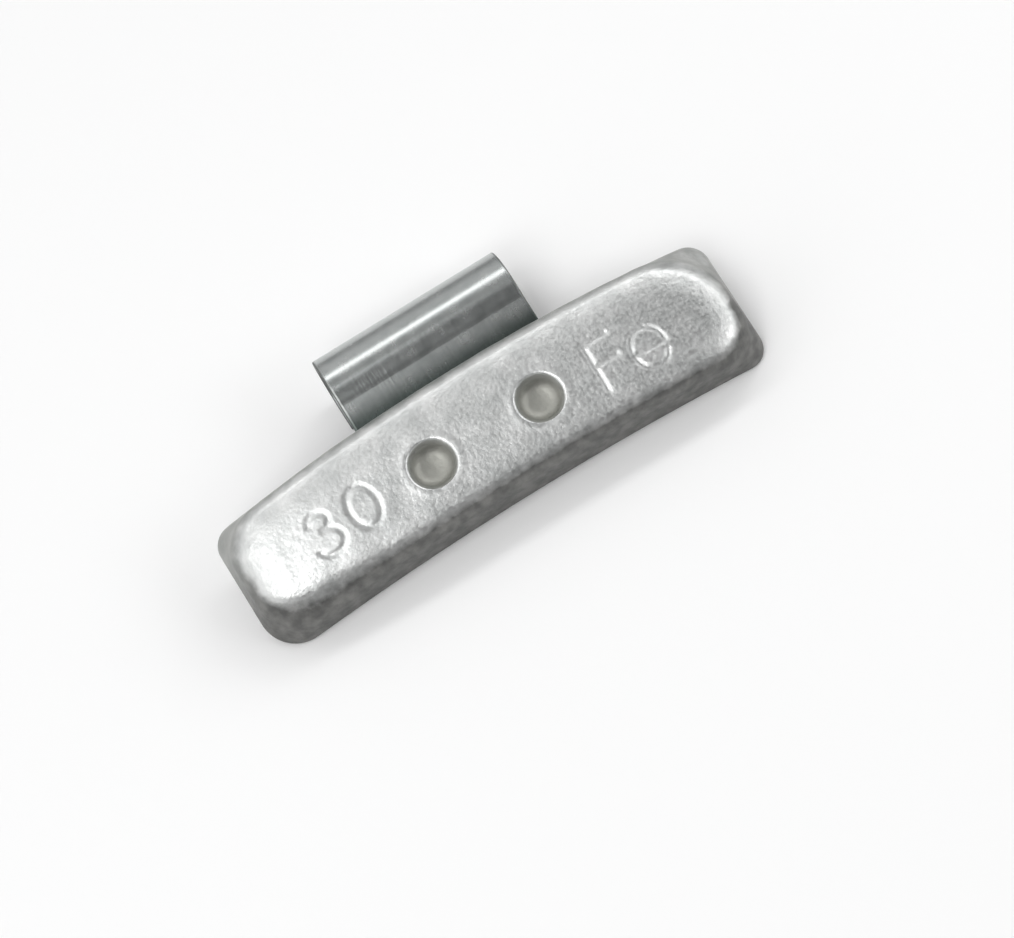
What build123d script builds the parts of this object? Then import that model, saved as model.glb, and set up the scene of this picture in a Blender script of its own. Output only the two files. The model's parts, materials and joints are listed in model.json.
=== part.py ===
from build123d import *
import math
import os

# Lengths are in millimetres and angles in degrees

# Weight body: a pressed steel bar, arched to follow the rim
body_length = 53.5
body_height = 14.0
body_thickness = 5.55
upper_edge_radius = 200.0
lower_edge_radius = 330.0
wall_draft = 9.0
back_corner_radius = 2.0
lower_left_corner_radius = 3.6
front_corner_radius = 5.0
front_edge_radius = 1.8

# Two punched pits in the face, each with a stud behind it
pit_diameter = 4.5
pit_floor_diameter = 3.4
pit_spacing = 11.5
pit_height = 6.4
pit_depth = 1.5
pit_dish = 0.25
pit_rim_chamfer = 0.15
stud_diameter = 3.4
stud_head_diameter = 5.4
stud_head_height = 0.6

# Rim clip: a spring steel strip, its tab seated in the back of the body
clip_width = 20.0
clip_thickness = 1.0
tab_end_height = 2.4
neck_rise = 2.1
neck_lean = 20.0
neck_bend_radius = 0.8
hook_inner_radius = 3.2
hook_curl = 25.0
hook_tip_length = 1.0

# Fits between the two pieces
seat_side_clearance = 0.1
seat_end_clearance = 0.2
stud_hole_clearance = 0.05
stud_head_sink = 0.1

# Draw-in of the face's outline, and how far out the corner rounding leaves the long edges alone
front_inset = body_thickness * math.tan(math.radians(wall_draft))
middle_reach = body_length / 2 - front_inset - 1.2 * front_corner_radius

# Heights above the back face that follow from the sizes
seat_depth = clip_thickness + stud_head_height + stud_head_sink
strip_middle = seat_depth - clip_thickness / 2

# Centre-line radii of the two bends, and the centre of the hook
neck_bend_middle = neck_bend_radius + clip_thickness / 2
hook_middle = hook_inner_radius + clip_thickness / 2
neck_end_height = body_height + neck_rise
bend_span = neck_bend_middle + hook_middle
hook_centre_y = neck_end_height + bend_span * math.sin(math.radians(neck_lean))
hook_centre_z = strip_middle + neck_bend_middle - bend_span * math.cos(math.radians(neck_lean))


def long_edge(centre_y, radius, end, middle_angle):
    """Arched long edge from x = end to -end, as a middle arc between two outer ones."""
    end_angle = math.degrees(math.asin(end / radius))
    steps = (-end_angle, -middle_angle, middle_angle, end_angle)
    return [CenterArc((0, centre_y), radius, 90 + a, b - a) for a, b in zip(steps, steps[1:])]


def arched_face(inset, corner_radius, lower_left_radius):
    """Arched bar outline with rounded corners, drawn in by inset on all sides."""
    end = body_length / 2 - inset
    # The middle arcs end on the same radial lines for every inset, so the long walls are true cones
    upper_angle = math.degrees(math.asin(middle_reach / upper_edge_radius))
    lower_angle = math.degrees(math.asin(middle_reach / lower_edge_radius))
    upper = long_edge(body_height - upper_edge_radius, upper_edge_radius - inset, end, upper_angle)
    lower = long_edge(-lower_edge_radius, lower_edge_radius + inset, end, lower_angle)
    sides = [Line(lower[0] @ 0, upper[0] @ 0), Line(lower[-1] @ 1, upper[-1] @ 1)]
    face = make_face(upper + lower + sides)
    corners = face.vertices().filter_by(lambda corner: abs(corner.X) > end - 0.001)
    lower_left = corners.sort_by(Axis.X)[:2].sort_by(Axis.Y)[0]
    face = fillet([corner for corner in corners if corner != lower_left], corner_radius)
    left_end = face.vertices().filter_by(lambda corner: corner.X < 0.001 - end)
    return fillet(left_end.sort_by(Axis.Y)[0], lower_left_radius)


def blank():
    """Solid bar: its outline draws in and rounds off from the back to the face."""
    back = arched_face(0, back_corner_radius, lower_left_corner_radius)
    front = Pos(Z=body_thickness) * arched_face(front_inset, front_corner_radius, front_corner_radius)
    bar = loft([back, front], ruled=True)
    return fillet(bar.faces().sort_by(Axis.Z)[-1].edges(), front_edge_radius)


def pit():
    """Punch mark below z = 0: an eased rim, a tapered wall and a dished floor."""
    rim = pit_diameter / 2
    floor = pit_floor_diameter / 2
    dish_radius = (floor**2 + pit_dish**2) / (2 * pit_dish)
    dish = JernArc((0, -pit_depth), (1, 0), dish_radius, math.degrees(math.asin(floor / dish_radius)))
    sides = Polyline(
        dish @ 1,
        (rim, -pit_rim_chamfer),
        (rim + pit_rim_chamfer, 0),
        (0, 0),
        (0, -pit_depth),
    )
    return revolve(Plane.XZ * make_face([dish, sides]), Axis.Z)


def stud():
    """Stud below z = 0: a shank through the clip's hole and a flat head riveted over it."""
    align = (Align.CENTER, Align.CENTER, Align.MAX)
    shank = Cylinder(stud_diameter / 2, clip_thickness, align=align)
    head = Cylinder(stud_head_diameter / 2, stud_head_height, align=align)
    return shank + Pos(Z=-clip_thickness) * head


def weight_body():
    """Bar with a seat for the clip in its back, two pits and two studs."""
    seat_width = clip_width + 2 * seat_side_clearance
    seat_end = tab_end_height - seat_end_clearance
    seat_length = body_height - seat_end + 1
    seat = Pos(Y=seat_end) * Box(
        seat_width, seat_length, 2 * seat_depth, align=(Align.CENTER, Align.MIN, Align.CENTER)
    )
    body = blank() - seat
    for x in (-pit_spacing / 2, pit_spacing / 2):
        body = body - Pos(x, pit_height, body_thickness) * pit()
        body = body + Pos(x, pit_height, seat_depth) * stud()
    return body.solid()


def rim_clip():
    """Strip that runs up from its tab, leans forward at the neck and hooks over to the back."""
    tab = Line((tab_end_height, strip_middle), (neck_end_height, strip_middle))
    neck = JernArc(tab @ 1, tab % 1, neck_bend_middle, neck_lean)
    hook = JernArc(neck @ 1, neck % 1, hook_middle, -(neck_lean + 180 + hook_curl))
    tip = Line(hook @ 1, hook @ 1 + (hook % 1) * hook_tip_length)
    section = Plane.YZ * trace(Wire([tab, neck, hook, tip]), clip_thickness)
    clip = extrude(section, clip_width / 2, both=True)
    for x in (-pit_spacing / 2, pit_spacing / 2):
        hole = Cylinder(stud_diameter / 2 + stud_hole_clearance, 4 * clip_thickness)
        clip = clip - Pos(x, pit_height, strip_middle) * hole
    return clip.solid()


def rest_angle():
    """Turn about X at which the hook and the lower right back corner both touch the ground."""
    corner_x = body_length / 2 - back_corner_radius
    corner_y = math.sqrt((lower_edge_radius + back_corner_radius) ** 2 - corner_x**2) - lower_edge_radius
    reach = hook_centre_y - (corner_y - back_corner_radius)
    hook_radius = hook_middle + clip_thickness / 2
    lift = math.asin(hook_radius / math.hypot(reach, hook_centre_z))
    return math.degrees(lift - math.atan2(hook_centre_z, reach))


body = weight_body()
clip = rim_clip()

# Lie the part on its back as it comes to rest, centred over the origin
turn = Rot(X=rest_angle())
box = Compound([turn * body, turn * clip]).bounding_box()
place = Pos(-box.center().X, -box.center().Y, -box.min.Z) * turn

os.makedirs("parts", exist_ok=True)
export_step(place * body, "parts/weight_body.step")
export_step(place * clip, "parts/rim_clip.step")
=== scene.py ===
import json
import math

import bmesh
import bpy
import numpy as np
from mathutils import Matrix


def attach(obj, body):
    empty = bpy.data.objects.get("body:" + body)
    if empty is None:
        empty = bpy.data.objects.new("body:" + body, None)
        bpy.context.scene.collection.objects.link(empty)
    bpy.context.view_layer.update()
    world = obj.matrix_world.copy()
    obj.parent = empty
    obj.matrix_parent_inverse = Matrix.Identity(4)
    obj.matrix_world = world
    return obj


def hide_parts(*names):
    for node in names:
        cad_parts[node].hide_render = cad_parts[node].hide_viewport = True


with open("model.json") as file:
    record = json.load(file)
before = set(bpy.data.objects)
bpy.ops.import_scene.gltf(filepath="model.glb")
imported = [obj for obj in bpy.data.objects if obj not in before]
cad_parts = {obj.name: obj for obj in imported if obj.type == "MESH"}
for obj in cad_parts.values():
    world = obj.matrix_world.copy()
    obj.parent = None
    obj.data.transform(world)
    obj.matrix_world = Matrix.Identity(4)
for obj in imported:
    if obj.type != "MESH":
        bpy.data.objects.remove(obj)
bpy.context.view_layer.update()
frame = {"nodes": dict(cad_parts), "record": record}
print("frame loaded:", ", ".join(sorted(frame["nodes"])))

# Lengths below are in millimetres in the bar's own axes:
# x runs along the bar, y up towards the clip, z out of the marked face, with z = 0 on the back
mm = 0.001
mergeGap = 0.0005            # points closer than this are one
sharpAngle = 55.0            # edges that turn by more than this many degrees are shaded sharp

bar = {
    "length": 53.5,
    "height": 14.0,
    "thickness": 5.55,
    "upperArc": 200.0,       # radius of the long edge next to the clip
    "lowerArc": 330.0,       # radius of the other long edge
    "draft": 9.0,            # lean of the walls, in degrees
    "backCorner": 2.0,
    "lowerLeftCorner": 3.6,
    "faceCorner": 5.0,
    "upperRightCorner": 7.5,
    "lowerRightCorner": 4.0,
    "upperRound": 1.2,       # rounding between face and walls next to the clip
    "leftRound": 1.8,        # at the ends
    "rightRound": 1.6,
    "lowerRound": 1.7,       # along the other long edge
    "lowerLeftRound": 3.2,   # and where that edge nears the left end
    "lowerLeftRange": (-8.0, -24.0),   # x over which the one passes into the other
    "crownRise": 0.12,       # the middle of the face stands this proud
    "crownStart": 14.0,      # the face falls away from here to the ends
    "crownLong": 110.0,      # its radius there
    "crownShort": 75.0,      # its radius across the bar
    "shoulderWidth": 2.8,    # the face starts to turn down this far inside its rounding
    "shoulderDrop": 0.3,
    "backRound": 0.25,       # the back edge is only tumbled
    "unevenAbove": 1.5,      # the unevenness grows from the back up to here
    "uneven": (
        {"height": 0.011, "size": 3.5, "count": 40, "seed": 3},
        {"height": 0.001, "size": 0.8, "count": 60, "seed": 5},
    ),
    "longSteps": 154,
    "cornerSteps": 60,
    "endSteps": 30,
    "faceSteps": 36,
    "roundSteps": 14,
    "wallSteps": 16,
    "backRoundSteps": 3,
    "backSteps": 6,
}

pits = {
    "diameter": 4.5,
    "floorDiameter": 3.4,
    "spacing": 11.5,
    "height": 6.4,           # y of the two centres
    "depth": 1.5,
    "dish": 0.25,
    "mouthRound": 0.3,
    "mouthFlare": 62.0,      # lean of the mouth where it meets the face, in degrees
    "floorRound": 0.7,       # hollow rounding between wall and floor
    "lipHeight": 0.03,       # metal pushed up round the mouth
    "lipWidth": 0.6,
    "lipOffset": 0.45,
    "cutAbove": 0.6,         # the cutter goes on this far above the mouth
    "mouthSteps": 9,
    "hollowSteps": 8,
    "dishSteps": 14,
    "around": 128,
}

studs = {
    "diameter": 3.4,
    "headDiameter": 5.4,
    "headHeight": 0.6,
    "headRound": 0.25,
    "sink": 0.1,             # heads lie this far below the back
    "root": 0.5,             # shank runs this far into the bar
    "rimSteps": 7,
    "around": 64,
}

strip = {
    "width": 20.0,
    "thickness": 1.0,
    "tabEnd": 2.4,           # y of the lower end
    "neckRise": 2.1,
    "neckLean": 20.0,
    "neckBend": 0.8,
    "hookInner": 3.2,
    "hookCurl": 25.0,
    "tipLength": 1.0,
    "edgeRound": 0.14,
    "edgeAngle": 50.0,       # edges that turn by more than this many degrees are rounded
    "sideClearance": 0.1,
    "endClearance": 0.2,
    "holeClearance": 0.05,
    "seatPast": 1.0,         # the seat's cutter reaches this far past the bar
    "holeReach": 2.0,        # the holes' cutters reach this far to both sides of the strip's middle
    "tabSteps": 47,
    "neckSteps": 12,
    "rollSteps": 90,
    "tipSteps": 5,
    "widthSteps": 41,
    "edgeSteps": 3,
}

pitPlaces = (-pits["spacing"] / 2, pits["spacing"] / 2)
seatDepth = strip["thickness"] + studs["headHeight"] + studs["sink"]
stripMiddle = seatDepth - strip["thickness"] / 2
neckRadius = strip["neckBend"] + strip["thickness"] / 2
hookRadius = strip["hookInner"] + strip["thickness"] / 2
neckEnd = bar["height"] + strip["neckRise"]
lean = math.radians(strip["neckLean"])
hookY = neckEnd + (neckRadius + hookRadius) * math.sin(lean)
hookZ = stripMiddle + neckRadius - (neckRadius + hookRadius) * math.cos(lean)

# The record's mounts place those axes: the rim seat's normal is -z, the rim lip is the hook's centre
mounts = {mount["name"]: mount for mount in frame["record"]["mounts"]}
axisX = np.array([1.0, 0.0, 0.0])
axisZ = -np.array(mounts["rim_seat"]["axis"])
axisZ /= np.linalg.norm(axisZ)
turn = np.stack([axisX, np.cross(axisZ, axisX), axisZ])
origin = np.array(mounts["rim_lip"]["pos_m"]) - np.array([0.0, hookY, hookZ]) @ turn * mm


def toFrame(points):
    # bar's axes in millimetres -> shared frame in metres
    return points @ turn * mm + origin


def toBar(points):
    # shared frame in metres -> bar's axes in millimetres
    return (points - origin) @ turn.T / mm


def atHeight(plan, z):
    # points of a plan, all at height z
    return np.column_stack([plan, np.full(len(plan), z)])


def smoothStep(low, high, value):
    # 0 below low, 1 above high, 3t^2 - 2t^3 between
    t = np.clip((value - low) / (high - low), 0, 1)
    return t * t * (3 - 2 * t)


def ridge(distance, width):
    # raised cosine: 1 on the line, 0 and level at width from it
    return 0.5 + 0.5 * np.cos(np.pi * np.clip(distance / width, 0, 1))


def waves(points, size, count, seed):
    # uneven surface: the scaled sum of plane waves of about the given length, in seeded random directions
    rng = np.random.default_rng(seed)
    direction = rng.normal(size=(count, 3))
    direction /= np.linalg.norm(direction, axis=1, keepdims=True)
    wavelength = size * rng.uniform(0.7, 1.6, count)
    phase = rng.uniform(0, 2 * np.pi, count)
    turns = direction * (2 * np.pi / wavelength)[:, None]
    return np.sin(points @ turns.T + phase).sum(-1) / math.sqrt(count)


def gridMesh(name, rings, closed=True):
    # rings is an array of rings x stations x 3; quads join neighbours, equal points are merged
    count, around = rings.shape[:2]
    index = np.arange(count * around).reshape(count, around)
    following = np.roll(index, -1, axis=1)
    if not closed:
        index, following = index[:, :-1], following[:, :-1]
    quads = np.stack([index[:-1], index[1:], following[1:], following[:-1]], axis=-1).reshape(-1, 4)
    mesh = bpy.data.meshes.new(name)
    mesh.from_pydata(toFrame(rings.reshape(-1, 3)).tolist(), [], quads.tolist())
    work = bmesh.new()
    work.from_mesh(mesh)
    bmesh.ops.remove_doubles(work, verts=work.verts, dist=mergeGap * mm)
    work.to_mesh(mesh)
    work.free()
    piece = bpy.data.objects.new(name, mesh)
    bpy.context.scene.collection.objects.link(piece)
    return piece


def turned(name, profile, around, centre):
    # profile is (radius, z) from the top of the axis to the bottom, turned about a z axis through centre
    angle = np.arange(around) * 2 * np.pi / around
    x = centre[0] + profile[:, :1] * np.cos(angle)
    y = centre[1] + profile[:, :1] * np.sin(angle)
    z = centre[2] + np.repeat(profile[:, 1:], around, axis=1)
    return gridMesh(name, np.stack([x, y, z], axis=-1))


def combine(piece, tools, operation):
    # Boolean with each tool in turn, made final with the modifiers before it; the tools go
    for tool in tools:
        boolean = piece.modifiers.new(tool.name, "BOOLEAN")
        boolean.operation = operation
        boolean.solver = "EXACT"
        boolean.object = tool
    graph = bpy.context.evaluated_depsgraph_get()
    mesh = bpy.data.meshes.new_from_object(piece.evaluated_get(graph))
    piece.modifiers.clear()
    piece.data = mesh
    for tool in tools:
        bpy.data.objects.remove(tool)


def halfOutline(inset, highCorner, lowCorner):
    # right half of the bar's outline, drawn in by inset, from the middle of its lower edge to that of its
    # upper one: each station is a centre plus a radius along its outward normal
    long, bend, end = bar["longSteps"], bar["cornerSteps"], bar["endSteps"]
    upper, lower = bar["upperArc"] - inset, bar["lowerArc"] + inset
    upperY, lowerY = bar["height"] - bar["upperArc"], -bar["lowerArc"]
    endX = bar["length"] / 2 - inset
    highX, lowX = endX - highCorner, endX - lowCorner
    upperTurn = math.asin(highX / (upper - highCorner))
    lowerTurn = math.asin(lowX / (lower + lowCorner))
    highY = upperY + (upper - highCorner) * math.cos(upperTurn)
    lowY = lowerY + (lower + lowCorner) * math.cos(lowerTurn)
    quarter = np.pi / 2
    normal = np.concatenate([
        np.linspace(-quarter, -quarter - lowerTurn, long, endpoint=False),
        np.linspace(-quarter - lowerTurn, 0, bend, endpoint=False),
        np.zeros(end),
        np.linspace(0, quarter - upperTurn, bend, endpoint=False),
        np.linspace(quarter - upperTurn, quarter, long + 1),
    ])
    # lower edge, its corner, the straight end, the upper corner and the upper edge
    share = np.linspace(0, 1, end, endpoint=False)
    counts = (long, bend, end, bend, long + 1)
    radius, centreX, centreY = (
        np.concatenate([np.broadcast_to(value, count) for value, count in zip(values, counts)])
        for values in (
            (-lower, lowCorner, lowCorner + share * (highCorner - lowCorner), highCorner, upper),
            (0, lowX, lowX + share * (highX - lowX), highX, 0),
            (lowerY, lowY, lowY + share * (highY - lowY), highY, upperY),
        )
    )
    direction = np.stack([np.cos(normal), np.sin(normal)], axis=-1)
    return np.stack([centreX, centreY], axis=-1) + radius[:, None] * direction, direction


def outline(inset, upperRight, lowerRight, upperLeft, lowerLeft):
    # closed outline: the right half, then the left one as a mirror image with its own corners
    points, direction = halfOutline(inset, upperRight, lowerRight)
    leftPoints, leftDirection = halfOutline(inset, upperLeft, lowerLeft)
    mirror = np.array([-1, 1])
    return (np.concatenate([points, leftPoints[-2:0:-1] * mirror]),
            np.concatenate([direction, leftDirection[-2:0:-1] * mirror]))


def middleLine(end):
    # the station's partner on the line midway between the long edges, where both halves of a face meet
    long = bar["longSteps"]
    x = np.concatenate([
        np.linspace(0, end, long, endpoint=False),
        np.full(2 * bar["cornerSteps"] + bar["endSteps"], end),
        np.linspace(end, 0, long + 1),
    ])
    x = np.concatenate([x, -x[-2:0:-1]])
    upper = bar["height"] - bar["upperArc"] + np.sqrt(bar["upperArc"] ** 2 - x * x)
    lower = np.sqrt(bar["lowerArc"] ** 2 - x * x) - bar["lowerArc"]
    return np.stack([x, (upper + lower) / 2], axis=-1)


def between(first, last, steps, start=0):
    # straight rings from first to last
    t = np.linspace(0, 1, steps + 1)[start:, None, None]
    return (1 - t) * first + t * last


def roundedEdge(first, edge, last, turnAngle, steps):
    # circular rounding of an edge, as a rational quadratic curve with the sharp edge as its pole
    t = np.linspace(0, 1, steps + 1)[1:, None, None]
    weight = 2 * t * (1 - t) * math.cos(turnAngle / 2)
    return ((1 - t) ** 2 * first + weight * edge + t * t * last) / ((1 - t) ** 2 + weight + t * t)


def strokeDistance(x, y, line):
    # distance to a polyline, the least over its straight pieces
    near = np.full(x.shape, np.inf)
    for (ax, ay), (bx, by) in zip(line, line[1:]):
        dx, dy = bx - ax, by - ay
        t = np.clip(((x - ax) * dx + (y - ay) * dy) / (dx * dx + dy * dy), 0, 1)
        near = np.minimum(near, np.hypot(x - ax - t * dx, y - ay - t * dy))
    return near


def arcLine(centre, radii, first, last, steps=28):
    # points on an ellipse from one angle to another, in degrees
    angle = np.radians(np.linspace(first, last, steps))
    return np.stack([centre[0] + radii[0] * np.cos(angle), centre[1] + radii[1] * np.sin(angle)], axis=-1)


# Stamped marks: the mass in grams on the left and the metal's chemical symbol on the right
marks = {
    "depth": 0.09,
    "width": 0.48,           # from the middle of a stroke to its rim
    "strokes": [
        arcLine((-17.4, 7.35), (1.0, 0.86), 170, -90),
        arcLine((-17.3, 5.3), (1.42, 1.19), 90, -155),
        arcLine((-13.05, 6.43), (1.41, 2.03), 0, 360),
        [(11.45, 3.65), (11.55, 8.36), (13.9, 8.35)],
        [(11.5, 6.11), (13.9, 6.09)],
        arcLine((16.7, 5.08), (1.65, 1.97), -4, 327),
        [(15.1, 5.1), (18.3, 4.92)],
    ],
}


def faceRelief(x, y):
    # height added to the face: a slight crown, a lip round each pit, and the marks pressed into it
    fromStart = np.clip(np.abs(x) - bar["crownStart"], 0, None)
    crown = fromStart**2 / (2 * bar["crownLong"]) + (y - bar["height"] / 2) ** 2 / (2 * bar["crownShort"])
    near = np.full(x.shape, np.inf)
    for line in marks["strokes"]:
        near = np.minimum(near, strokeDistance(x, y, line))
    height = bar["crownRise"] - crown - marks["depth"] * ridge(near, marks["width"])
    crest = pits["diameter"] / 2 + pits["lipOffset"]
    for place in pitPlaces:
        fromPit = np.hypot(x - place, y - pits["height"])
        height = height + pits["lipHeight"] * ridge(np.abs(fromPit - crest), pits["lipWidth"])
    return height


def makeBar():
    # one profile carried round the outline, from middle line to middle line:
    # face, rounding, wall, back edge and back
    thick, draft = bar["thickness"], math.radians(bar["draft"])
    inset = thick * math.tan(draft)
    backCorner, faceCorner = bar["backCorner"], bar["faceCorner"]
    upperRight, lowerRight = bar["upperRightCorner"], bar["lowerRightCorner"]
    back, backNormal = outline(0, backCorner, backCorner, backCorner, bar["lowerLeftCorner"])
    face, faceNormal = outline(inset, upperRight, lowerRight, faceCorner, faceCorner)
    backRing, faceRing = atHeight(back, 0), atHeight(face, thick)
    down = backRing - faceRing
    down /= np.linalg.norm(down, axis=1, keepdims=True)
    faceTurn = np.pi / 2 - draft
    backTurn = np.pi / 2 + draft
    # the rounding at a station blends those of the four sides by the squares of its normal's components
    nearLeft = smoothStep(*bar["lowerLeftRange"], face[:, 0])
    lowerRound = bar["lowerRound"] + (bar["lowerLeftRound"] - bar["lowerRound"]) * nearLeft
    across, upward = faceNormal.T
    faceRound = np.where(across > 0, bar["rightRound"], bar["leftRound"]) * across**2
    faceRound += np.where(upward > 0, bar["upperRound"], lowerRound) * upward**2
    faceReach = faceRound[:, None] * math.tan(faceTurn / 2)
    backReach = bar["backRound"] * math.tan(backTurn / 2)
    spine = middleLine(bar["length"] / 2 - inset - faceCorner)
    flatEdge = atHeight(face - faceReach * faceNormal, thick)
    wallTop = faceRing + faceReach * down
    wallFoot = backRing - backReach * down
    backEdge = atHeight(back - backReach * backNormal, 0)
    rings = np.concatenate([
        between(atHeight(spine, thick), flatEdge, bar["faceSteps"]),
        roundedEdge(flatEdge, faceRing, wallTop, faceTurn, bar["roundSteps"]),
        between(wallTop, wallFoot, bar["wallSteps"], 1),
        roundedEdge(wallFoot, backRing, backEdge, backTurn, bar["backRoundSteps"]),
        between(backEdge, atHeight(spine, 0), bar["backSteps"], 1),
    ])
    # the shoulder is a parabola up to the rounding and goes straight on from there
    onFace = slice(bar["faceSteps"] + 1)
    fromEdge = rings - flatEdge
    past = (fromEdge[..., :2] * faceNormal).sum(-1)
    past[onFace] = -np.linalg.norm(fromEdge[onFace], axis=-1)
    share = past / bar["shoulderWidth"]
    drop = bar["shoulderDrop"] * np.where(share < 0, np.clip(1 + share, 0, None) ** 2, 1 + 2 * share)
    relief = faceRelief(rings[..., 0], rings[..., 1]) - drop
    rings[..., 2] += relief * smoothStep(0, thick, rings[..., 2])
    along = np.roll(rings, -1, axis=1) - np.roll(rings, 1, axis=1)
    normal = np.cross(np.gradient(rings, axis=0), along)
    normal[0], normal[-1] = (0, 0, 1), (0, 0, -1)
    normal /= np.linalg.norm(normal, axis=-1, keepdims=True)
    uneven = sum(
        layer["height"] * waves(rings, layer["size"], layer["count"], layer["seed"])
        for layer in bar["uneven"]
    )
    rings += normal * (uneven * smoothStep(0, bar["unevenAbove"], rings[..., 2]))[..., None]
    piece = gridMesh("bar", rings)
    print("bar grid:", len(piece.data.vertices), "points")
    return piece


def pitTool(x):
    # cutter: above the face, a rounded mouth, a tapered wall, a hollow rounding and a dished floor
    wallRadius, floorRadius = pits["diameter"] / 2, pits["floorDiameter"] / 2
    mouth, hollow, dish = pits["mouthRound"], pits["floorRound"], pits["dish"]
    wallFoot = np.array([floorRadius, dish - pits["depth"]])
    taper = math.atan2(wallRadius - floorRadius, -wallFoot[1] - mouth)
    flare = np.linspace(math.radians(pits["mouthFlare"]), taper, pits["mouthSteps"])
    mouthR = wallRadius + mouth * (math.cos(taper) - np.cos(flare))
    mouthZ = mouth * (np.sin(flare) - 1)
    topR = mouthR[0] + pits["cutAbove"] * math.tan(flare[0])
    topZ = mouthZ[0] + pits["cutAbove"]
    ball = (floorRadius**2 + dish**2) / (2 * dish)
    sweep = np.linspace(math.asin((floorRadius - hollow) / ball), 0, pits["dishSteps"])
    floorLine = np.column_stack([ball * np.sin(sweep), ball * (1 - np.cos(sweep)) - pits["depth"]])
    # the hollow is a quadratic curve with the sharp corner as its pole
    t = np.linspace(0, 1, pits["hollowSteps"] + 1)[:-1, None]
    wallEnd = wallFoot + hollow * np.array([math.sin(taper), math.cos(taper)])
    profile = np.concatenate([
        [[0, topZ], [topR, topZ]],
        np.column_stack([mouthR, mouthZ]),
        (1 - t) ** 2 * wallEnd + 2 * t * (1 - t) * wallFoot + t * t * floorLine[0],
        floorLine,
    ])
    centre = (x, pits["height"], bar["thickness"] + bar["crownRise"])
    return turned("pitTool", profile, pits["around"], centre)


def seatTool():
    # cutter: a box open to the back and to the clip's edge of the bar
    past = strip["seatPast"]
    half = strip["width"] / 2 + strip["sideClearance"]
    low, high = strip["tabEnd"] - strip["endClearance"], bar["height"] + past
    corners = np.array([[half, low], [half, high], [-half, high], [-half, low]])
    middle = np.tile(corners.mean(0), (4, 1))
    levels = ((middle, seatDepth), (corners, seatDepth), (corners, -past), (middle, -past))
    return gridMesh("seatTool", np.array([atHeight(plan, z) for plan, z in levels]))


def studTool(x):
    # rivet: shank from inside the bar through the clip, and a flattened head with a rounded rim
    shank, head, rim = studs["diameter"] / 2, studs["headDiameter"] / 2, studs["headRound"]
    under = -strip["thickness"]
    bottom = under - studs["headHeight"]
    bend = np.radians(np.linspace(0, 90, studs["rimSteps"]))
    profile = np.concatenate([
        [[0, studs["root"]], [shank, studs["root"]], [shank, under], [head, under]],
        np.column_stack([head - rim + rim * np.cos(bend), bottom + rim - rim * np.sin(bend)]),
        [[0, bottom]],
    ])
    return turned("studTool", profile, studs["around"], (x, pits["height"], seatDepth))


def holeTool(x):
    # cutter: a cylinder through the strip, a little wider than the stud's shank
    radius, reach = studs["diameter"] / 2 + strip["holeClearance"], strip["holeReach"]
    profile = np.array([[0, reach], [radius, reach], [radius, -reach], [0, -reach]])
    return turned("holeTool", profile, studs["around"], (x, pits["height"], stripMiddle))


def makeClip():
    # the strip's middle surface: a straight tab, a bend forward, the roll over the top and a straight tip
    neckHeading = np.radians(np.linspace(0, strip["neckLean"], strip["neckSteps"]))
    rollHeading = np.radians(np.linspace(strip["neckLean"], -180 - strip["hookCurl"], strip["rollSteps"]))
    tab = np.linspace(strip["tabEnd"], neckEnd, strip["tabSteps"])[:-1]
    neckY = neckEnd + neckRadius * np.sin(neckHeading)
    neckZ = stripMiddle + neckRadius * (1 - np.cos(neckHeading))
    rollY = hookY - hookRadius * np.sin(rollHeading)
    rollZ = hookZ + hookRadius * np.cos(rollHeading)
    tip = np.linspace(0, strip["tipLength"], strip["tipSteps"])[1:]
    tipY = rollY[-1] + tip * math.cos(rollHeading[-1])
    tipZ = rollZ[-1] + tip * math.sin(rollHeading[-1])
    y = np.concatenate([tab, neckY[:-1], rollY, tipY])
    z = np.concatenate([np.full(len(tab), stripMiddle), neckZ[:-1], rollZ, tipZ])
    # a station close to each cut edge keeps its rounding's shading narrow
    half = strip["width"] / 2
    close = half - 2 * strip["edgeRound"]
    x = np.concatenate([[half], np.linspace(close, -close, strip["widthSteps"]), [-half]])
    rings = np.stack(np.broadcast_arrays(x[None, :], y[:, None], z[:, None]), axis=-1)
    piece = gridMesh("springClip", rings, closed=False)
    wall = piece.modifiers.new("sheet", "SOLIDIFY")
    wall.thickness = strip["thickness"] * mm
    wall.offset = 0
    wall.use_even_offset = True
    edges = piece.modifiers.new("shearedEdge", "BEVEL")
    edges.width = strip["edgeRound"] * mm
    edges.segments = strip["edgeSteps"]
    edges.limit_method = "ANGLE"
    edges.angle_limit = math.radians(strip["edgeAngle"])
    # the holes are cut last, so their rims stay sharp
    combine(piece, [holeTool(x) for x in pitPlaces], "DIFFERENCE")
    return piece


# Where the finishes change
zones = {
    "low": (2.0, 11.0),            # y over which the side away from the clip passes into the other one
    "wall": (0.35, 0.95),          # upward share of the normal, from full wall to full face
    "lowWallMore": (0.3, 0.02),    # added to both on the side away from the clip
    "cutEdge": (0.02, 0.3),        # share of the normal along the bar, from flat strip to cut edge
    "cornerBehind": 0.3,           # the strip's painted shade is darkest from this far behind the bar's upper edge
    "pitShade": (-0.4, -1.0),      # height over the face across which the pits turn dull and darken with painted shade
    "pitBelow": 0.2,               # points down to this far below a pit's floor belong to it
}


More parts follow.
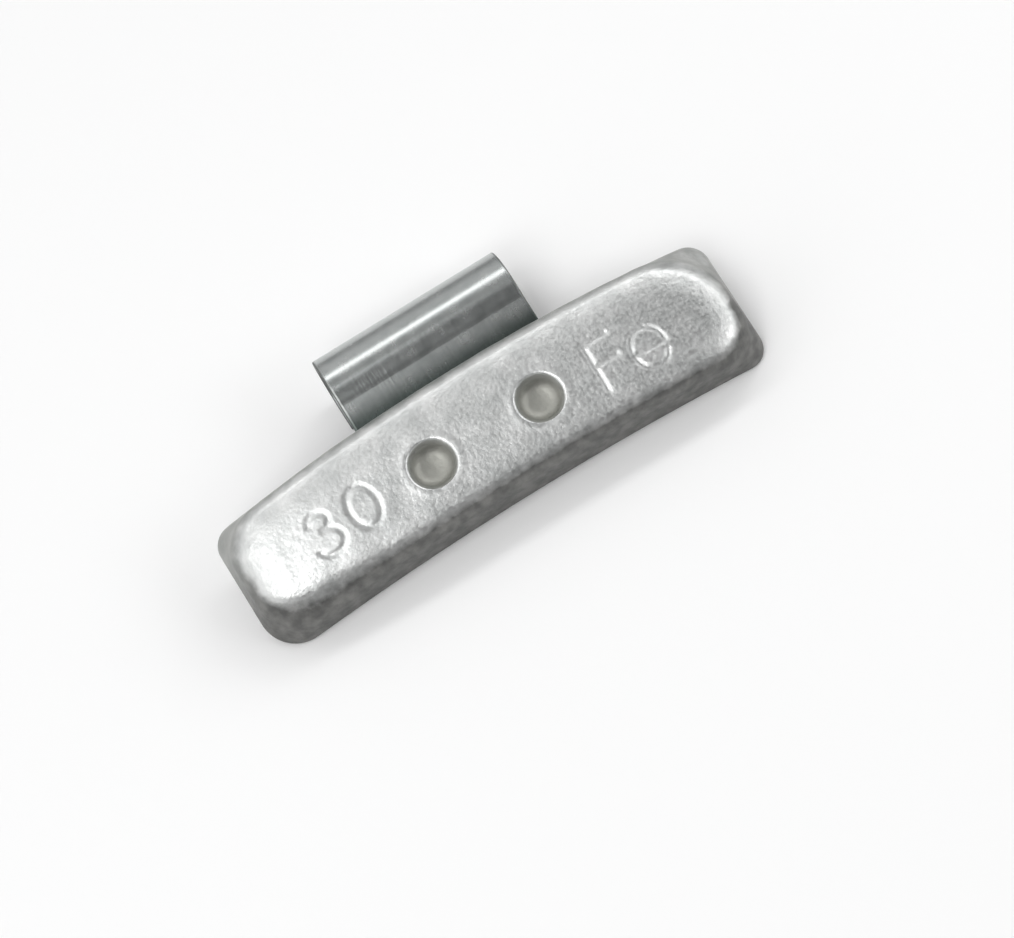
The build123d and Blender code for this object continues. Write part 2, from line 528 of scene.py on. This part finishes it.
def paintShare(piece):
    # attributes from 0 to 1 for the materials: steep walls, the side away from the clip, the inside of the
    # pits, the strip's cut edges, and the corner where the strip goes behind the bar; the side away from the
    # clip, the pits and the corner mark where shade is painted
    count = len(piece.data.vertices)
    place, normal = np.empty(count * 3), np.empty(count * 3)
    piece.data.vertices.foreach_get("co", place)
    piece.data.vertices.foreach_get("normal", normal)
    x, y, z = toBar(place.reshape(-1, 3)).T
    normal = normal.reshape(-1, 3)
    low = 1 - smoothStep(*zones["low"], y)
    steep, flat = (start + more * low for start, more in zip(zones["wall"], zones["lowWallMore"]))
    side = 1 - smoothStep(steep, flat, normal @ axisZ)
    cutEdge = smoothStep(*zones["cutEdge"], np.abs(normal @ axisX))
    # painted shade on the strip, darkest where it goes behind the bar's upper edge
    corner = 1 - smoothStep(bar["height"] - zones["cornerBehind"], neckEnd, y)
    fromPit = np.hypot(np.abs(x) - pits["spacing"] / 2, y - pits["height"])
    overFloor = z > bar["thickness"] - pits["depth"] - zones["pitBelow"]
    atPit = (fromPit < pits["diameter"] / 2 + pits["mouthRound"]) & overFloor
    # the pits' painted shade and dullness grow with depth below the face
    inPit = atPit * smoothStep(*zones["pitShade"], z - bar["thickness"] - bar["crownRise"])
    side = side * ~atPit
    shares = {"side": side, "low": low, "inPit": inPit, "cutEdge": cutEdge, "corner": corner}
    for name, share in shares.items():
        piece.data.attributes.new(name, "FLOAT", "POINT").data.foreach_set("value", share)


def hexColour(code):
    # sRGB hex -> linear RGBA
    channels = [int(code[i:i + 2], 16) / 255 for i in (1, 3, 5)]
    return [c / 12.92 if c <= 0.04045 else ((c + 0.055) / 1.055) ** 2.4 for c in channels] + [1.0]


def addNode(tree, kind, settings=None, inputs=None):
    # one node with its settings; an input is a value or the socket that feeds it
    node = tree.nodes.new(kind)
    for name, value in (settings or {}).items():
        setattr(node, name, value)
    for name, value in (inputs or {}).items():
        if isinstance(value, bpy.types.NodeSocket):
            tree.links.new(value, node.inputs[name])
        else:
            node.inputs[name].default_value = value
    return node


def newMaterial(name):
    material = bpy.data.materials.new(name)
    material.use_nodes = True
    tree = material.node_tree
    tree.nodes.clear()
    return material, tree


def perMetre(size):
    # texture scale for a pattern of the given size in millimetres
    return 1 / (size * mm)


def painted(tree, name):
    # one of the attributes that are painted on the mesh
    return addNode(tree, "ShaderNodeAttribute", {"attribute_name": name}).outputs["Fac"]


def clouds(tree, place, size, detail):
    # noise of the given size in millimetres
    inputs = {"Vector": place, "Scale": perMetre(size), "Detail": detail}
    return addNode(tree, "ShaderNodeTexNoise", inputs=inputs).outputs["Fac"]


def tones(tree, value, stops):
    # colours between two stops, each a value and its hex colour
    node = addNode(tree, "ShaderNodeValToRGB", inputs={"Fac": value})
    for element, (position, code) in zip(node.color_ramp.elements, stops):
        element.position = position
        element.color = hexColour(code)
    return node.outputs["Color"]


def mixColour(tree, factor, first, second, blend="MIX"):
    settings = {"data_type": "RGBA", "blend_type": blend}
    inputs = {0: factor, 6: first, 7: second}
    return addNode(tree, "ShaderNodeMix", settings, inputs).outputs[2]


def mixValue(tree, factor, first, second):
    inputs = {0: factor, 2: first, 3: second}
    return addNode(tree, "ShaderNodeMix", {"data_type": "FLOAT"}, inputs).outputs[0]


def maths(tree, operation, *values):
    return addNode(tree, "ShaderNodeMath", {"operation": operation}, dict(enumerate(values))).outputs[0]


def mapRange(tree, value, low, high):
    # low and high are each an end of the value's range and what it becomes there
    inputs = {"Value": value, "From Min": low[0], "To Min": low[1], "From Max": high[0], "To Max": high[1]}
    return addNode(tree, "ShaderNodeMapRange", inputs=inputs).outputs["Result"]


def finishMaterial(tree, inputs):
    shader = addNode(tree, "ShaderNodeBsdfPrincipled", inputs=inputs)
    addNode(tree, "ShaderNodeOutputMaterial", inputs={"Surface": shader.outputs["BSDF"]})


def plated(tree, colour, rough, relief, settings):
    # bare metal with its fine relief as a bump
    bump = addNode(tree, "ShaderNodeBump", inputs={
        "Height": relief,
        "Strength": settings["bumpStrength"],
        "Distance": settings["bumpHeight"] * mm,
    })
    finishMaterial(tree, {
        "Base Color": colour,
        "Metallic": 1.0,
        "Roughness": rough,
        "Normal": bump.outputs["Normal"],
    })


pressing = {
    "faceTones": ((0.32, "#C6C8C7"), (0.68, "#DEDFDE")),
    "blotchyLowWallShade": ((0.35, "#8A8988"), (0.65, "#9F9E9C")),
    "upperWalls": "#D2D2D0",
    "pitShadeColour": "#A3A39D",
    "mottleSize": 2.2,
    "blotchSize": 1.1,
    "dentSize": 0.55,
    "dentSmoothness": 0.6,
    "grainSize": 0.32,
    "ragged": -0.6,                # how far the blotches move the edge between face and wall
    "wallEnds": ((-0.12, 0.0), (0.5, 1.0)),   # that edge, and the share of the wall's colour there
    "satin": ((0.3, 0.34), (0.7, 0.5)),       # grain, and the face's roughness there
    "dull": 0.52,                  # roughness of walls and pits
    "dentShare": 0.5,
    "bumpStrength": 0.5,
    "bumpHeight": 0.055,
}


def zincPressing():
    # Zinc-plated cold pressing, tumbled: light grey satin metal, mottled and finely dented on the face,
    # duller and darker on its walls and in the pits, where tumbling doesn't reach; darker still, as painted
    # shade, on the walls away from the clip and towards the floors of the pits
    material, tree = newMaterial("zincPlatedPressing")
    place = addNode(tree, "ShaderNodeTexCoord").outputs["Object"]
    side, low, inPit = (painted(tree, name) for name in ("side", "low", "inPit"))
    mottle = clouds(tree, place, pressing["mottleSize"], 4.0)
    grain = clouds(tree, place, pressing["grainSize"], 3.0)
    blotch = clouds(tree, place, pressing["blotchSize"], 3.0)
    dents = addNode(tree, "ShaderNodeTexVoronoi", {"feature": "SMOOTH_F1"}, {
        "Vector": place,
        "Scale": perMetre(pressing["dentSize"]),
        "Smoothness": pressing["dentSmoothness"],
    })
    # walls: blotchy, with a ragged edge to the face, and painted shade on those away from the clip
    ragged = maths(tree, "MULTIPLY_ADD", blotch, pressing["ragged"], side)
    onWall = mapRange(tree, ragged, *pressing["wallEnds"])
    # painted shade: the walls away from the clip take a darker blotchy colour than those next to it
    blotchyLowWallShade = tones(tree, blotch, pressing["blotchyLowWallShade"])
    dull = mixColour(tree, low, hexColour(pressing["upperWalls"]), blotchyLowWallShade)
    walls = mixColour(tree, onWall, tones(tree, mottle, pressing["faceTones"]), dull, "MULTIPLY")
    # painted shade in the pits, deepening towards their floors
    colour = mixColour(tree, inPit, walls, hexColour(pressing["pitShadeColour"]))
    satin = mapRange(tree, grain, *pressing["satin"])
    rough = mixValue(tree, maths(tree, "MAXIMUM", side, inPit), satin, pressing["dull"])
    relief = maths(tree, "MULTIPLY_ADD", dents.outputs["Distance"], pressing["dentShare"], grain)
    plated(tree, colour, rough, relief, pressing)
    return material


rolled = {
    "tones": ((0.3, "#B0B4B3"), (0.7, "#BDC0BF")),
    "cutTint": "#6E706E",
    "cornerShadeColour": "#5C6461",
    "mottleSize": 1.6,
    "lineSize": 0.25,              # rolling lines are finer than a pixel, so they are drawn this far apart
    "lineStretch": (1.0, 0.04, 0.04),
    "satin": ((0.3, 0.24), (0.7, 0.28)),   # mottle, and the roughness there
    "dull": 0.55,                  # roughness of the cut edges
    "mottleShare": 0.3,
    "bumpStrength": 0.4,
    "bumpHeight": 0.02,
}


def zincStrip():
    # Zinc-plated cold-rolled spring strip: smoother and darker than the pressing, with faint rolling lines
    # along its length, dull sheared edges, and painted shade in the corner where it goes behind the bar
    material, tree = newMaterial("zincPlatedSpringStrip")
    place = addNode(tree, "ShaderNodeTexCoord").outputs["Object"]
    cutEdge, corner = (painted(tree, name) for name in ("cutEdge", "corner"))
    mottle = clouds(tree, place, rolled["mottleSize"], 4.0)
    stretched = addNode(tree, "ShaderNodeMapping", inputs={"Vector": place, "Scale": rolled["lineStretch"]})
    lines = clouds(tree, stretched.outputs["Vector"], rolled["lineSize"], 2.0)
    edges = mixColour(tree, cutEdge, tones(tree, mottle, rolled["tones"]), hexColour(rolled["cutTint"]))
    # painted shade where the strip goes behind the bar
    colour = mixColour(tree, corner, edges, hexColour(rolled["cornerShadeColour"]))
    rough = mixValue(tree, cutEdge, mapRange(tree, mottle, *rolled["satin"]), rolled["dull"])
    relief = maths(tree, "MULTIPLY_ADD", mottle, rolled["mottleShare"], lines)
    plated(tree, colour, rough, relief, rolled)
    return material


weight = makeBar()
combine(weight, [pitTool(x) for x in pitPlaces] + [seatTool()], "DIFFERENCE")
combine(weight, [studTool(x) for x in pitPlaces], "UNION")
weight.name = "pressedBar"
clip = makeClip()
for piece, node, slotName, material in (
    (weight, "weight_body", "body_zinc", zincPressing()),
    (clip, "rim_clip", "clip_zinc", zincStrip()),
):
    piece.data.materials.clear()
    piece.data.materials.append(material)
    piece.data.polygons.foreach_set("material_index", np.zeros(len(piece.data.polygons), np.int32))
    piece.data.shade_smooth()
    piece.data.set_sharp_from_angle(angle=math.radians(sharpAngle))
    paintShare(piece)
    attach(piece, "root")
    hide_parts(node)
    print(piece.name, "faces:", len(piece.data.polygons))


def poseMatrix(right, up, back, place):
    # an object's axes and its place in metres -> world matrix
    pose = np.eye(4)
    pose[:3, :3] = np.stack([right, up, back], axis=1)
    pose[:3, 3] = place
    return Matrix(pose.tolist())


# Camera at the photograph's viewing angle; the target lies in the middle of the picture
view = {
    "azimuth": -8.0,
    "elevation": 61.5,
    "roll": -24.73,
    "distance": 240.0,
    "target": (-0.073, -8.44, 4.0),   # millimetres in the shared frame
    "pixelsPerMm": 10.894,            # at the target
    "imageWidth": 1014,
    "sensorWidth": 36.0,
    "clipStart": 10.0,
}
azimuth, elevation, roll = (math.radians(view[key]) for key in ("azimuth", "elevation", "roll"))
toCamera = np.array([
    math.sin(azimuth) * math.cos(elevation),
    -math.cos(azimuth) * math.cos(elevation),
    math.sin(elevation),
])
sideways = np.array([math.cos(azimuth), math.sin(azimuth), 0.0])
upright = np.cross(toCamera, sideways)
cameraRight = math.cos(roll) * sideways + math.sin(roll) * upright
cameraUp = math.cos(roll) * upright - math.sin(roll) * sideways
lens = bpy.data.cameras.new("camera")
lens.sensor_fit = "HORIZONTAL"
lens.sensor_width = view["sensorWidth"]
lens.lens = view["pixelsPerMm"] * view["distance"] * view["sensorWidth"] / view["imageWidth"]
lens.clip_start = view["clipStart"] * mm
camera = bpy.data.objects.new("camera", lens)
cameraPlace = (np.array(view["target"]) + view["distance"] * toCamera) * mm
camera.matrix_world = poseMatrix(cameraRight, cameraUp, toCamera, cameraPlace)
bpy.context.scene.collection.objects.link(camera)
bpy.context.scene.camera = camera

# Pale paper floor that the part lies on, a square of twice this many metres
floorReach = 3.0
paper, tree = newMaterial("paleFloor")
finishMaterial(tree, {"Base Color": hexColour("#F2F2F2"), "Roughness": 0.9})
floorMesh = bpy.data.meshes.new("floor")
floorCorners = [(x * floorReach, y * floorReach, 0) for x, y in ((-1, -1), (1, -1), (1, 1), (-1, 1))]
floorMesh.from_pydata(floorCorners, [], [(0, 1, 2, 3)])
floorMesh.materials.append(paper)
floor = bpy.data.objects.new("floor", floorMesh)
bpy.context.scene.collection.objects.link(floor)

# Soft boxes: direction from the part, then how far away, width and depth in metres, and power in watts
lamps = {
    "overhead": {"from": (-0.25, 0.53, 0.83), "away": 0.6, "width": 1.1, "depth": 1.05, "power": 0.92},
    "back": {"from": (-0.1, 0.92, 0.38), "away": 0.6, "width": 0.9, "depth": 0.45, "power": 0.46},
    "window": {"from": (0.0, 0.522, 0.853), "away": 0.5, "width": 0.7, "depth": 0.075, "power": 0.6},
    "streak": {"from": (-0.191, -0.058, 0.98), "away": 0.5, "width": 0.24, "depth": 0.03, "power": 0.05},
    "backRight": {"from": (0.669, 0.399, 0.627), "away": 0.5, "width": 0.25, "depth": 0.2, "power": 0.42},
    "left": {"from": (-0.38, -0.15, 0.91), "away": 0.5, "width": 0.22, "depth": 0.2, "power": 0.41},
    "frontLeft": {"from": (-0.366, -0.52, 0.77), "away": 0.5, "width": 0.22, "depth": 0.14, "power": 0.56},
    "backLeft": {"from": (-0.72, 0.5, 0.48), "away": 0.5, "width": 0.35, "depth": 0.35, "power": 0.15},
    "farLeft": {"from": (-0.88, -0.09, 0.46), "away": 0.5, "width": 0.4, "depth": 0.5, "power": 0.62},
    "farRight": {"from": (0.92, -0.06, 0.38), "away": 0.5, "width": 0.36, "depth": 0.5, "power": 0.3},
    "right": {"from": (0.819, -0.105, 0.564), "away": 0.4, "width": 0.14, "depth": 0.2, "power": 0.16},
    "frontRight": {"from": (0.629, -0.556, 0.543), "away": 0.4, "width": 0.14, "depth": 0.14, "power": 0.22},
}
for name, lamp in lamps.items():
    light = bpy.data.lights.new(name, "AREA")
    light.shape = "RECTANGLE"
    light.size = lamp["width"]
    light.size_y = lamp["depth"]
    light.energy = lamp["power"]
    box = bpy.data.objects.new(name, light)
    aim = np.array(lamp["from"]) / np.linalg.norm(lamp["from"])
    across = np.cross([0.0, 1.0, 0.0], aim)
    across /= np.linalg.norm(across)
    box.matrix_world = poseMatrix(across, np.cross(aim, across), aim, aim * lamp["away"])
    bpy.context.scene.collection.objects.link(box)

# Even white light from all round
world = bpy.data.worlds.new("studio")
world.use_nodes = True
background = world.node_tree.nodes["Background"]
background.inputs["Color"].default_value = hexColour("#FFFFFF")
background.inputs["Strength"].default_value = 0.09
bpy.context.scene.world = world
bpy.context.scene.view_settings.view_transform = "Standard"
print("camera, floor and lights set")
